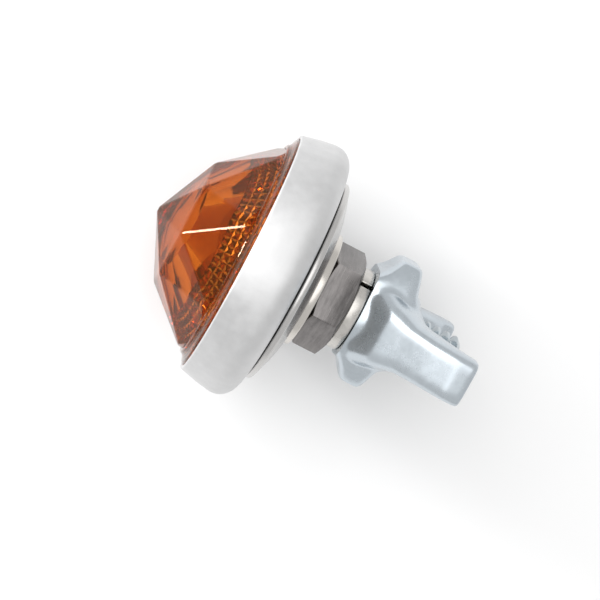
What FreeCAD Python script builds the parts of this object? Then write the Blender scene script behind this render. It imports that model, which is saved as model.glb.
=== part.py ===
import FreeCAD, Part
import math
import os

import Sketcher
from FreeCAD import Placement, Rotation, Vector

# A small turn signal indicator. The lamp's axis lies along Y: the lens looks to -Y and the stud points to +Y.
# The origin is on the axis, in the rear face of the hexagon nut, where the bracket sits. Lengths are in mm.

SIZES = {
    # Lens
    "JewelHeight": 8.6,         # from the lens's front land to the apex
    "CrownHeight": 5.68,        # from the front land to the ring of crown corners
    "CrownRadius": 6.5,         # ring of crown corners
    "JewelMargin": 1.25,        # flat land between the jewel's foot and the lens's edge
    "JewelTurn": -9.5,          # angle of the first crown corner from +Z, towards -X, in degrees
    "JewelSides": 8.0,
    "LensProud": 0.35,          # how far the front land stands in front of the cup's lip
    "HollowMouth": 9.6,         # conical hollow in the lens's back, over the light sources
    "HollowTop": 3.0,
    "HollowDepth": 6.3,
    # Cup
    "CupRadius": 13.3,
    "CupFlare": 0.65,           # the cup is this much narrower at its lip
    "FlareLength": 3.4,
    "CupCorner": 1.75,          # outer radius between the wall and the floor
    "WallThick": 0.42,
    "LipThick": 0.5,
    "LipRoll": 1.2,             # depth of the rolled lip that holds the lens
    "FloorThick": 0.5,
    # Stack inside the cup, from the floor forward
    "ToothWasherThick": 0.4,
    "HeadThick": 0.65,
    "InsulatorThick": 0.2,
    "BoardThick": 0.5,
    "ReflectorDepth": 0.9,
    "ReflectorSheet": 0.3,
    "LensGasketThick": 0.4,
    "ShoulderThick": 0.7,
    "LensGasketWidth": 1.4,
    # Behind the cup
    "BackGasketThick": 0.3,
    "BackGasketRadius": 10.2,
    "PlateRadius": 10.5,
    "PlateRim": 0.45,
    "PlateHeight": 1.65,
    "PlateSheet": 0.5,
    "PlateLandRadius": 6.1,
    "FlatWasherRadius": 5.9,
    "FlatWasherThick": 0.75,
    # Stud and nut
    "StudRadius": 2.413,        # No. 10 - 24 thread
    "ThreadPitch": 1.0583,
    "ThreadDepth": 0.6,
    "LeadBoreRadius": 1.3,
    "StudReach": 11.9,          # from the nut's rear face to the stud's free end
    "StudChamfer": 0.45,
    "HeadRadius": 4.3,
    "NutFlats": 9.525,
    "NutHeight": 3.175,
    "NutTurn": 24.0,
    "NutChamfer": 0.42,
    "BushWall": 0.75,
    "ToothWasherRadius": 4.6,
    "ToothCount": 10.0,
    "ToothGapWidth": 0.7,
    # Lock washer
    "LockRadius": 4.24,
    "LockThick": 1.19,
    "LockGap": 0.42,
    "LockGapSlant": 20.0,
    "LockTurn": -42.0,
    # Wing nut
    "SeatRadius": 4.45,
    "HubRadius": 4.9,
    "HubTopRadius": 3.9,
    "HubHeight": 5.3,
    "LobeReach": 6.75,
    "LobeStation": 2.5,
    "LobeDepth": 7.0,
    "LobeRound": 0.9,
    "LobeTipHeight": 2.2,
    "WingTipStation": 11.3,
    "WingReach": 9.9,
    "WingTipInner": 7.1,
    "WingThick": 4.7,
    "WingTipLength": 2.6,
    "WingBelly": 1.3,
    "WingShoulder": 3.0,
    "WingRoot": 0.6,
    "LobeInset": 0.15,
    "WingRound": 1.1,
    "WingTurn": 9.0,
    # Light sources and what stands on the board
    "BoardMargin": 0.25,
    "LedCircle": 5.1,
    "LedSide": 2.8,
    "LedHeight": 0.5,
    "DomeRadius": 0.7,
    "ReflectorMouth": 7.9,
    "ResistorLength": 1.6,
    "ResistorWidth": 0.8,
    "ResistorHeight": 0.45,
    "ResistorCircle": 6.6,
    "DiodeLength": 2.0,
    "DiodeWidth": 1.3,
    "DiodeHeight": 0.85,
    "DiodeOffset": 3.0,
    "PostRadius": 0.35,
    "PostHeight": 0.45,
    "PostOffset": 2.2,
    "SpacerWidth": 1.6,
    # Lead bushing
    "BushingLength": 2.0,
    "LeadRadius": 0.9,
    # Clearances
    "LensFit": 0.05,
    "NutFit": 0.04,
    "LockFit": 0.187,
    "SeatGap": 0.03,
}

# Thicknesses in order from the origin forward. Each piece starts where the one behind it ends.
STACK = [
    "NutHeight", "FlatWasherThick", "PlateHeight", "BackGasketThick", "FloorThick", "ToothWasherThick",
    "HeadThick", "InsulatorThick", "BoardThick", "ReflectorDepth", "LensGasketThick", "ShoulderThick", "LipRoll",
]

doc = FreeCAD.newDocument("indicator")
sheet = doc.addObject("Spreadsheet::Sheet", "Sizes")
for row, (alias, number) in enumerate(SIZES.items(), start=1):
    sheet.set(f"A{row}", alias)
    sheet.set(f"B{row}", str(number))
    sheet.setAlias(f"B{row}", alias)
doc.recompute()

nodes = {}


def bound(text):
    """The expression that FreeCAD reads: each size's name gets the sheet's name in front."""
    words = []
    word = ""
    for letter in text + " ":
        if letter.isalnum():
            word += letter
            continue
        words.append("Sizes." + word if word in SIZES else word)
        words.append(letter)
        word = ""
    return "".join(words).strip()


def value(text):
    """The number that an expression gives, in mm or degrees."""
    return float(sheet.evalExpression(bound(text)))


def span(first, last):
    """Total thickness of the stack from one layer to another, both included."""
    layers = STACK[STACK.index(first):STACK.index(last) + 1]
    return "(" + " + ".join(layers) + ")"


def front_of(layer):
    """Station on Y of a layer's front face."""
    return "-" + span(STACK[0], layer)


def place(item, station, turn="0"):
    """Sets an object's front face at a station on the axis, turned about the axis."""
    item.Placement = Placement(Vector(0, value(station), 0), Rotation(Vector(0, 1, 0), value(turn)))
    item.setExpression("Placement.Base.y", bound(station))
    if turn != "0":
        item.setExpression("Placement.Rotation.Angle", bound(turn))


def origin_plane(body, role):
    """One of a body's own origin planes."""
    return [feature for feature in body.Origin.OriginFeatures if feature.Role == role][0]


def new_sketch(body, role, name):
    """An empty sketch on one of the body's origin planes."""
    sketch = body.newObject("Sketcher::SketchObject", name)
    sketch.AttachmentSupport = [(origin_plane(body, role), "")]
    sketch.MapMode = "FlatFace"
    return sketch


def pin_point(sketch, index, point, across, along):
    """Ties a sketch point to two expressions, measured from the sketch's origin."""
    for kind, text in (("DistanceX", across), ("DistanceY", along)):
        number = sketch.addConstraint(Sketcher.Constraint(kind, -1, 1, index, point, value(text)))
        sketch.setExpression(f"Constraints[{number}]", bound(text))


def outline(body, role, name, corners):
    """A closed outline of straight sides; each corner is a pair of expressions."""
    sketch = new_sketch(body, role, name)
    spots = [Vector(value(across), value(along), 0) for across, along in corners]
    for index, spot in enumerate(spots):
        sketch.addGeometry(Part.LineSegment(spot, spots[(index + 1) % len(spots)]))
    for index, (across, along) in enumerate(corners):
        sketch.addConstraint(Sketcher.Constraint("Coincident", index, 2, (index + 1) % len(spots), 1))
        pin_point(sketch, index, 1, across, along)
    return sketch


def circles(body, role, name, radii):
    """A sketch of circles about the axis."""
    sketch = new_sketch(body, role, name)
    for index, text in enumerate(radii):
        sketch.addGeometry(Part.Circle(Vector(0, 0, 0), Vector(0, 0, 1), value(text)))
        sketch.addConstraint(Sketcher.Constraint("Coincident", index, 3, -1, 1))
        number = sketch.addConstraint(Sketcher.Constraint("Radius", index, value(text)))
        sketch.setExpression(f"Constraints[{number}]", bound(text))
    return sketch


def new_body(label):
    """An empty body that becomes the node of that name."""
    body = doc.addObject("PartDesign::Body", label)
    body.Label = label
    nodes[label] = body
    return body


def turn_profile(body, corners, name="profile"):
    """Revolves an outline of (radius, station) corners about the lamp's axis."""
    sketch = outline(body, "XY_Plane", name, corners)
    turned = body.newObject("PartDesign::Revolution", name + "_turned")
    turned.Profile = sketch
    turned.ReferenceAxis = (sketch, ["V_Axis"])
    turned.Angle = 360.0
    doc.recompute()
    return turned


def turned_part(label, station, corners):
    """A piece turned about the axis, its front face at a station."""
    body = new_body(label)
    turn_profile(body, corners)
    place(body, station)
    return body


def ring(label, station, inner, outer, thickness):
    """A flat ring padded from two circles."""
    body = new_body(label)
    sketch = circles(body, "XZ_Plane", "rims", [inner, outer])
    pad = body.newObject("PartDesign::Pad", "thickness")
    pad.Profile = sketch
    pad.Reversed = True
    pad.Length = value(thickness)
    pad.setExpression("Length", bound(thickness))
    doc.recompute()
    place(body, station)
    return body


def rim_edges(shape, radius, station):
    """Names of a shape's full circles of one radius at one station."""
    names = []
    for index, edge in enumerate(shape.Edges, start=1):
        curve = edge.Curve
        if not isinstance(curve, Part.Circle):
            continue
        if abs(curve.Radius - value(radius)) < 1e-4 and abs(curve.Center.y - value(station)) < 1e-4:
            names.append(f"Edge{index}")
    return names


def dress(body, kind, edges, text, amount):
    """Adds a fillet or a chamfer to named edges of the body's last feature."""
    if not edges:
        raise RuntimeError(f"{body.Label}: no edges found for {kind}")
    base = body.Tip
    feature = body.newObject("PartDesign::" + kind, kind.lower())
    feature.Base = (base, edges)
    setattr(feature, text, value(amount))
    feature.setExpression(text, bound(amount))
    doc.recompute()
    return feature


# --- Lens ---------------------------------------------------------------------------------------------------------

MOUTH = "(CupRadius - CupFlare - LipThick)"
LENS_EDGE = f"({MOUTH} - LensFit)"
INNER_WALL = "(CupRadius - CupFlare * (1 - LipRoll / FlareLength) - WallThick)"
SHOULDER = f"({INNER_WALL} - LensFit)"


def jewel_points(radius, station, turn, sides):
    """Corners of a level ring of the jewel."""
    spots = []
    for step in range(sides):
        angle = math.radians(turn + 360.0 * step / sides)
        spots.append(Vector(-radius * math.sin(angle), station, radius * math.cos(angle)))
    return spots


def facet(*spots):
    """One flat facet."""
    return Part.Face(Part.makePolygon(list(spots) + [spots[0]]))


def jewel_solid():
    """The faceted jewel: a crown of shallow facets over two rows of steep ones."""
    sides = int(value("JewelSides"))
    half_step = 180.0 / sides
    foot = value("LensProud") * -1
    apex = Vector(0, foot - value("JewelHeight"), 0)
    turn = value("JewelTurn")
    crown = jewel_points(value("CrownRadius"), foot - value("CrownHeight"), turn, sides)
    girdle = jewel_points(value(f"{LENS_EDGE} - JewelMargin"), foot, turn + half_step, sides)
    faces = [facet(*girdle)]
    for step in range(sides):
        following = (step + 1) % sides
        faces.append(facet(apex, crown[step], crown[following]))
        faces.append(facet(crown[step], girdle[step], crown[following]))
        faces.append(facet(crown[following], girdle[step], girdle[following]))
    solid = Part.Solid(Part.Shell(faces))
    solid.fix(1e-6, 1e-6, 1e-6)
    return solid


def disc(radius, front, rear):
    """A plain disc about the axis between two stations."""
    return Part.makeCylinder(radius, rear - front, Vector(0, front, 0), Vector(0, 1, 0))


def build_lens():
    """Jewel, flange, trapped shoulder and the hollow in the back, all one moulding."""
    front = -value("LensProud")
    rear = value("LipRoll + ShoulderThick")
    flange = disc(value(LENS_EDGE), front, rear)
    shoulder = disc(value(SHOULDER), value("LipRoll"), rear)
    hollow = Part.makeCone(value("HollowMouth"), value("HollowTop"), value("HollowDepth"), Vector(0, rear, 0),
                           Vector(0, -1, 0))
    lens = doc.addObject("Part::Feature", "lens")
    lens.Label = "lens"
    lens.Shape = jewel_solid().fuse([flange, shoulder]).cut(hollow).removeSplitter()
    place(lens, front_of("LipRoll"))
    nodes["lens"] = lens


# --- Cup and what is inside it ------------------------------------------------------------------------------------

CUP_DEPTH = span("FloorThick", "LipRoll")
BUSH_RADIUS = "(StudRadius + NutFit + BushWall)"
FLARE_WALL = "(CupRadius - WallThick)"


def build_cup():
    """Drawn cup: flared wall, rolled lip, flat floor with the stud hole."""
    inner_floor = f"({CUP_DEPTH} - FloorThick)"
    cup = turned_part("housing_cup", front_of("LipRoll"), [
        (MOUTH, "0"),
        ("CupRadius - CupFlare", "0"),
        ("CupRadius", "FlareLength"),
        ("CupRadius", CUP_DEPTH),
        (BUSH_RADIUS, CUP_DEPTH),
        (BUSH_RADIUS, inner_floor),
        (FLARE_WALL, inner_floor),
        (FLARE_WALL, "FlareLength"),
        (INNER_WALL, "LipRoll"),
        (MOUTH, "LipRoll"),
    ])
    dress(cup, "Fillet", rim_edges(cup.Tip.Shape, "CupRadius", CUP_DEPTH), "Radius", "CupCorner")


def build_reflector():
    """Bright pan between the board and the lens gasket."""
    turned_part("reflector", front_of("ReflectorDepth"), [
        ("ReflectorMouth", "ReflectorDepth"),
        ("ReflectorMouth + 2 * ReflectorSheet", "ReflectorDepth"),
        (f"{LENS_EDGE} - JewelMargin", "ReflectorSheet"),
        (SHOULDER, "ReflectorSheet"),
        (SHOULDER, "0"),
        (f"{LENS_EDGE} - JewelMargin - ReflectorSheet", "0"),
        ("ReflectorMouth", "ReflectorDepth - ReflectorSheet"),
    ])


def build_board():
    """Round board with the lead hole at its middle and a hole for each solder post."""
    body = new_body("led_board")
    sketch = circles(body, "XZ_Plane", "rims", ["LeadBoreRadius", "CupRadius - CupCorner - BoardMargin"])
    for side in (1, -1):
        index = sketch.addGeometry(Part.Circle(Vector(side * value("PostOffset"), 0, 0), Vector(0, 0, 1),
                                               value("PostRadius")))
        number = sketch.addConstraint(Sketcher.Constraint("Radius", index, value("PostRadius")))
        sketch.setExpression(f"Constraints[{number}]", bound("PostRadius"))
        pin_point(sketch, index, 3, f"{side} * PostOffset", "0")
    pad = body.newObject("PartDesign::Pad", "thickness")
    pad.Profile = sketch
    pad.Reversed = True
    pad.setExpression("Length", bound("BoardThick"))
    doc.recompute()
    place(body, front_of("BoardThick"))


def group(label, members):
    """Joins separate equal pieces in one node."""
    compound = doc.addObject("Part::Compound", label)
    compound.Label = label
    compound.Links = members
    doc.recompute()
    nodes[label] = compound


def block(name, width, height, depth, across, up, station):
    """A small block whose middle is at (across, up), its front face at a station."""
    item = doc.addObject("Part::Box", name)
    for field, text in (("Length", width), ("Width", depth), ("Height", height)):
        item.setExpression(field, bound(text))
    item.setExpression("Placement.Base.x", bound(f"{across} - ({width}) / 2"))
    item.setExpression("Placement.Base.y", bound(station))
    item.setExpression("Placement.Base.z", bound(f"{up} - ({height}) / 2"))
    return item


def build_light_sources():
    """Four packages on a circle, each with its own clear dome."""
    packages = []
    domes = []
    led_front = f"{front_of('BoardThick')} - LedHeight"
    for step in range(4):
        across = f"LedCircle * cos({45 + 90 * step})"
        up = f"LedCircle * sin({45 + 90 * step})"
        packages.append(block(f"package{step}", "LedSide", "LedSide", "LedHeight", across, up, led_front))
        dome = doc.addObject("Part::Sphere", f"dome{step}")
        dome.Angle1 = 0
        dome.setExpression("Radius", bound("DomeRadius"))
        dome.Placement.Rotation = Rotation(Vector(1, 0, 0), 90)
        dome.setExpression("Placement.Base.x", bound(across))
        dome.setExpression("Placement.Base.y", bound(led_front))
        dome.setExpression("Placement.Base.z", bound(up))
        domes.append(dome)
    group("led_packages", packages)
    group("led_domes", domes)


def build_small_parts():
    """Resistors, rectifier and solder posts on the board's front."""
    board_front = front_of("BoardThick")
    resistors = [
        block(f"resistor{step}", "ResistorLength", "ResistorWidth", "ResistorHeight", "0", f"{side} * ResistorCircle",
              f"{board_front} - ResistorHeight")
        for step, side in enumerate((1, -1))
    ]
    group("resistors", resistors)
    diode = block("rectifier", "DiodeLength", "DiodeWidth", "DiodeHeight", "0", "DiodeOffset",
                  f"{board_front} - DiodeHeight")
    diode.Label = "rectifier_diode"
    nodes["rectifier_diode"] = diode
    posts = []
    for step, side in enumerate((1, -1)):
        post = doc.addObject("Part::Cylinder", f"post{step}")
        post.setExpression("Radius", bound("PostRadius"))
        post.setExpression("Height", bound("BoardThick + PostHeight"))
        post.Placement.Rotation = Rotation(Vector(1, 0, 0), -90)
        post.setExpression("Placement.Base.x", bound(f"{side} * PostOffset"))
        post.setExpression("Placement.Base.y", bound(f"{board_front} - PostHeight"))
        posts.append(post)
    group("solder_posts", posts)


def build_rings():
    """Gaskets, insulator, spacer, bush, washers and the lead bushing: all plain rings."""
    ring("lens_gasket", front_of("LensGasketThick"), f"{SHOULDER} - LensGasketWidth", SHOULDER, "LensGasketThick")
    ring("insulator_disc", front_of("InsulatorThick"), "LeadBoreRadius", "ToothWasherRadius", "InsulatorThick")
    ring("board_spacer", front_of("InsulatorThick"), "CupRadius - CupCorner - BoardMargin - SpacerWidth",
         "CupRadius - CupCorner - BoardMargin", span("ToothWasherThick", "InsulatorThick"))
    ring("sealing_bush", front_of("FloorThick"), "StudRadius + NutFit", BUSH_RADIUS,
         span("PlateHeight", "FloorThick"))
    ring("back_gasket", front_of("BackGasketThick"), BUSH_RADIUS, "BackGasketRadius", "BackGasketThick")
    ring("flat_washer", front_of("FlatWasherThick"), "StudRadius + 2 * NutFit", "FlatWasherRadius",
         "FlatWasherThick")
    ring("lead_bushing", "StudReach - BushingLength", "LeadRadius", "LeadBoreRadius", "BushingLength")


def build_tooth_washer():
    """Internal-tooth washer under the stud's head."""
    body = ring("tooth_washer", front_of("ToothWasherThick"), "StudRadius + NutFit", "ToothWasherRadius",
                "ToothWasherThick")
    middle = "(StudRadius + ToothWasherRadius) / 2"
    notch = outline(body, "XZ_Plane", "notch", [
        ("-ToothGapWidth / 2", "StudRadius / 2"),
        ("ToothGapWidth / 2", "StudRadius / 2"),
        ("ToothGapWidth / 2", middle),
        ("-ToothGapWidth / 2", middle),
    ])
    pocket = body.newObject("PartDesign::Pocket", "tooth_gap")
    pocket.Profile = notch
    pocket.Type = 1
    pocket.Midplane = True
    doc.recompute()
    pattern = body.newObject("PartDesign::PolarPattern", "teeth")
    pattern.Originals = [pocket]
    pattern.Axis = (notch, ["N_Axis"])
    pattern.Angle = 360
    pattern.setExpression("Occurrences", bound("ToothCount"))
    body.Tip = pattern
    doc.recompute()


def build_back_plate():
    """Slightly domed plate with a short rim."""
    turned_part("back_plate", front_of("PlateHeight"), [
        ("PlateRadius - PlateSheet", "0"),
        ("PlateRadius", "0"),
        ("PlateRadius", "PlateRim"),
        ("PlateLandRadius", "PlateHeight"),
        (BUSH_RADIUS, "PlateHeight"),
        (BUSH_RADIUS, "PlateHeight - PlateSheet"),
        ("PlateLandRadius - PlateSheet / 2", "PlateHeight - PlateSheet"),
    ])


# --- Stud and nuts ------------------------------------------------------------------------------------------------

def build_stud():
    """Hollow stud: round head, shank, and a helical thread to the free end."""
    length = f"({span('NutHeight', 'HeadThick')} + StudReach)"
    body = new_body("stud")
    turn_profile(body, [
        ("LeadBoreRadius", "0"),
        ("HeadRadius", "0"),
        ("HeadRadius", "HeadThick"),
        ("StudRadius", "HeadThick"),
        ("StudRadius", f"{length} - StudChamfer"),
        ("StudRadius - StudChamfer", length),
        ("LeadBoreRadius", length),
    ])
    start = f"({span('PlateHeight', 'HeadThick')} + ThreadPitch / 2)"
    overrun = "ThreadDepth / 8"
    root_half = "ThreadPitch / 16"
    mouth_half = f"({root_half} + (ThreadDepth + {overrun}) * tan(30))"
    groove = outline(body, "XY_Plane", "thread_form", [
        ("StudRadius - ThreadDepth", f"{start} - {root_half}"),
        ("StudRadius - ThreadDepth", f"{start} + {root_half}"),
        (f"StudRadius + {overrun}", f"{start} + {mouth_half}"),
        (f"StudRadius + {overrun}", f"{start} - {mouth_half}"),
    ])
    thread = body.newObject("PartDesign::SubtractiveHelix", "thread")
    thread.Profile = groove
    thread.ReferenceAxis = (groove, ["V_Axis"])
    thread.Mode = 0
    thread.Angle = 0
    thread.LeftHanded = False
    thread.Reversed = False
    thread.setExpression("Pitch", bound("ThreadPitch"))
    thread.setExpression("Height", bound(f"{length} - {start} + ThreadPitch"))
    doc.recompute()
    place(body, front_of("HeadThick"))


def build_hex_nut():
    """Hexagon nut: a chamfered turned blank, cut to a hexagon."""
    corner = "(NutFlats / sqrt(3))"
    blank = doc.addObject("PartDesign::Body", "nut_blank")
    turn_profile(blank, [
        ("StudRadius + NutFit", "NutChamfer"),
        ("StudRadius + NutFit + NutChamfer", "0"),
        ("NutFlats / 2", "0"),
        (corner, "NutChamfer"),
        (corner, "NutHeight - NutChamfer"),
        ("NutFlats / 2", "NutHeight"),
        ("StudRadius + NutFit + NutChamfer", "NutHeight"),
        ("StudRadius + NutFit", "NutHeight - NutChamfer"),
    ])
    prism = doc.addObject("Part::Prism", "nut_flats")
    prism.Polygon = 6
    prism.setExpression("Circumradius", bound(corner))
    prism.setExpression("Height", bound("NutHeight"))
    prism.Placement.Rotation = Rotation(Vector(1, 0, 0), -90)
    nut = doc.addObject("Part::Common", "hex_nut")
    nut.Label = "hex_nut"
    nut.Base = blank
    nut.Tool = prism
    doc.recompute()
    place(nut, front_of("NutHeight"), "NutTurn + 30")
    nodes["hex_nut"] = nut


def build_lock_washer():
    """Split lock washer with a slanted gap."""
    body = ring("lock_washer", "SeatGap", "StudRadius + LockFit", "LockRadius", "LockThick")
    sketch = outline(body, "XY_Plane", "gap", [
        ("-LockGap / 2 - LockThick / 2 * tan(LockGapSlant)", "0"),
        ("LockGap / 2 - LockThick / 2 * tan(LockGapSlant)", "0"),
        ("LockGap / 2 + LockThick / 2 * tan(LockGapSlant)", "LockThick"),
        ("-LockGap / 2 + LockThick / 2 * tan(LockGapSlant)", "LockThick"),
    ])
    pocket = body.newObject("PartDesign::Pocket", "split")
    pocket.Profile = sketch
    pocket.Reversed = True
    pocket.setExpression("Length", bound("LockRadius * 2"))
    doc.recompute()
    place(body, "SeatGap", "LockTurn")


def edges_along(shape, direction, spots):
    """Names of a shape's straight edges that run along a direction and pass through given spots."""
    names = []
    for index, edge in enumerate(shape.Edges, start=1):
        if not isinstance(edge.Curve, (Part.Line, Part.LineSegment)):
            continue
        if abs(abs(edge.Curve.Direction.dot(direction)) - 1) > 1e-6:
            continue
        if any(edge.distToShape(Part.Vertex(spot))[0] < 1e-4 for spot in spots):
            names.append(f"Edge{index}")
    return names


def mirrored_pad(body, sketch, name, length, mirror_role):
    """Pads a sketch both ways from its plane and repeats the pad across one of the body's planes."""
    pad = body.newObject("PartDesign::Pad", name)
    pad.Profile = sketch
    pad.Midplane = True
    pad.setExpression("Length", bound(length))
    doc.recompute()
    copies = body.newObject("PartDesign::Mirrored", name + "_pair")
    copies.Originals = [pad]
    copies.MirrorPlane = (origin_plane(body, mirror_role), [""])
    body.Tip = copies
    doc.recompute()


def build_wing_nut():
    """Cast wing nut: conical hub, two short lobes across X and two wings along Z."""
    body = new_body("wing_nut")
    bore = "StudRadius + NutFit"
    root = f"({bore} + WingRoot)"
    turn_profile(body, [
        (bore, "0"),
        ("SeatRadius", "0"),
        ("HubRadius", "LobeStation"),
        ("HubTopRadius", "HubHeight"),
        (bore, "HubHeight"),
    ], "hub")
    wing_corners = [
        ("LobeStation / 3", root),
        ("HubHeight", root),
        ("WingTipStation", "WingTipInner"),
        ("WingTipStation", "WingReach"),
        ("WingTipStation - WingTipLength", "WingReach"),
        ("LobeStation", "SeatRadius + WingBelly"),
        ("LobeStation / 4", "SeatRadius - LobeInset"),
    ]
    mirrored_pad(body, outline(body, "YZ_Plane", "wing_side", wing_corners), "wing", "WingThick", "XY_Plane")
    lobe_corners = [
        (root, "LobeStation / 4"),
        ("SeatRadius - LobeInset", "LobeStation / 4"),
        ("LobeReach", "LobeStation - LobeTipHeight / 2"),
        ("LobeReach", "LobeStation + LobeTipHeight / 2"),
        ("HubTopRadius - LobeInset", "HubHeight - LobeInset"),
        (root, "HubHeight - LobeInset"),
    ]
    mirrored_pad(body, outline(body, "XY_Plane", "lobe_side", lobe_corners), "lobe", "LobeDepth", "YZ_Plane")
    tips = []
    for station, reach in wing_corners[2:5]:
        tips += [Vector(0, value(station), side * value(reach)) for side in (1, -1)]
    dress(body, "Fillet", edges_along(body.Tip.Shape, Vector(1, 0, 0), tips[:4]), "Radius", "WingRound")
    dress(body, "Fillet", edges_along(body.Tip.Shape, Vector(1, 0, 0), tips[4:]), "Radius", "WingShoulder")
    lobe_tips = []
    for reach, station in lobe_corners[2:4]:
        lobe_tips += [Vector(side * value(reach), value(station), 0) for side in (1, -1)]
    dress(body, "Fillet", edges_along(body.Tip.Shape, Vector(0, 0, 1), lobe_tips), "Radius", "LobeRound")
    place(body, "LockThick + 2 * SeatGap", "WingTurn")


build_lens()
build_cup()
build_rings()
build_reflector()
build_board()
build_light_sources()
build_small_parts()
build_tooth_washer()
build_back_plate()
build_stud()
build_hex_nut()
build_lock_washer()
build_wing_nut()
doc.recompute()

# --- Checks and files ---------------------------------------------------------------------------------------------

for item in doc.Objects:
    if "Invalid" in item.State or "Error" in item.State:
        raise RuntimeError(f"{item.Name} did not compute: {item.State}")
for label, item in nodes.items():
    if item.Shape.isNull() or not item.Shape.isValid():
        raise RuntimeError(f"{label} has no valid shape")

os.makedirs("parts", exist_ok=True)
for label, item in nodes.items():
    item.Shape.exportStep(f"parts/{label}.step")
    box = item.Shape.BoundBox
    print(f"{label:16s} solids {len(item.Shape.Solids)} volume {item.Shape.Volume:9.2f} "
          f"y {box.YMin:7.2f} {box.YMax:7.2f} x {box.XMin:6.2f} {box.XMax:6.2f} z {box.ZMin:6.2f} {box.ZMax:6.2f}")
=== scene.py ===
"""A small turn signal indicator: faceted amber lens, satin cup, domed back plate, threaded stud and wing nut.

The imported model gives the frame. This script adds the pieces whose look needs more than the plain solids,
gives every piece its finish, and sets up a pale floor, soft lights and the camera. Lengths in the classes
are in millimetres and angles in degrees, and MM turns them into the frame's metres. The lamp's axis lies
along Y: the lens looks to -Y and the stud points to +Y.
"""

from __future__ import annotations

import logging
import math
from dataclasses import dataclass
from enum import Enum
from typing import Callable, Dict, List, NamedTuple, Sequence, Tuple, Union

import bmesh
import bpy
from mathutils import Matrix, Vector

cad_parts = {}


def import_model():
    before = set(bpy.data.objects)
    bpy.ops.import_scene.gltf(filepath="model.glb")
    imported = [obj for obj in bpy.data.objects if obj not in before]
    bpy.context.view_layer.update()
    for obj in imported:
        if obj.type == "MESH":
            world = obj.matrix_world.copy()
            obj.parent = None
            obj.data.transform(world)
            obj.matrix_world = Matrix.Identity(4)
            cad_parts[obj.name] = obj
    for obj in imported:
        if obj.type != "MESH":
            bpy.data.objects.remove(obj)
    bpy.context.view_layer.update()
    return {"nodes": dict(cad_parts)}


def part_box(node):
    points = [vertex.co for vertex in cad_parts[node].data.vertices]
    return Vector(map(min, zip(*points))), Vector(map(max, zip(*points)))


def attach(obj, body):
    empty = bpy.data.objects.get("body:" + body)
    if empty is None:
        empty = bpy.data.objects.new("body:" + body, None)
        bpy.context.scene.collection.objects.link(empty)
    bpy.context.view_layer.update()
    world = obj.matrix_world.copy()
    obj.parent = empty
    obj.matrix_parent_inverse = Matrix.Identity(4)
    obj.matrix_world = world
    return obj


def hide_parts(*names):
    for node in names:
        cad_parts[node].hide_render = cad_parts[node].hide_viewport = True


MM = 0.001
HAIR = 1e-7  # metres; closer vertices count as one
NEAR = 0.01  # millimetres; a vertex this near a ring lies on it
SEGMENTS = 144
FINE_SEGMENTS = 96
QUARTER = math.pi / 2
FACING_AXIS = (QUARTER, 0.0, 0.0)
ORIGIN = (0.0, 0.0, 0.0)

Colour = Tuple[float, float, float]
Spot = Tuple[float, float]

log = logging.getLogger("indicator")


# --- Shader maths -----------------------------------------------------------------------------------------

class Wire:
    """A value that varies over a surface: one output socket, usable in Python arithmetic."""

    def __init__(self, bench: ShaderBench, socket: bpy.types.NodeSocket) -> None:
        """Keeps the socket and the bench that it belongs to."""
        self.bench = bench
        self.socket = socket

    def _join(self, operation: str, first: Term, second: Term) -> Wire:
        """Adds one Math node.

        Args:
            operation: the Math node's operation.
            first: the first operand.
            second: the second operand.

        Returns:
            The node's result.
        """
        node = self.bench.node("ShaderNodeMath", {"operation": operation}, {0: first, 1: second})
        return Wire(self.bench, node.outputs[0])

    def __add__(self, other: Term) -> Wire:
        """self + other"""
        return self._join("ADD", self, other)

    def __radd__(self, other: Term) -> Wire:
        """other + self"""
        return self._join("ADD", other, self)

    def __sub__(self, other: Term) -> Wire:
        """self - other"""
        return self._join("SUBTRACT", self, other)

    def __rsub__(self, other: Term) -> Wire:
        """other - self"""
        return self._join("SUBTRACT", other, self)

    def __mul__(self, other: Term) -> Wire:
        """self * other"""
        return self._join("MULTIPLY", self, other)

    def __rmul__(self, other: Term) -> Wire:
        """other * self"""
        return self._join("MULTIPLY", other, self)

    def __pow__(self, other: Term) -> Wire:
        """self ** other"""
        return self._join("POWER", self, other)

    def __rpow__(self, other: Term) -> Wire:
        """other ** self"""
        return self._join("POWER", other, self)

    def clamp(self) -> Wire:
        """The value held between 0 and 1."""
        return self._join("MAXIMUM", self._join("MINIMUM", self, 1.0), 0.0)

    def angle(self, other: Term) -> Wire:
        """The angle whose tangent is self / other, in radians."""
        return self._join("ARCTAN2", self, other)


Term = Union[Wire, float]


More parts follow.
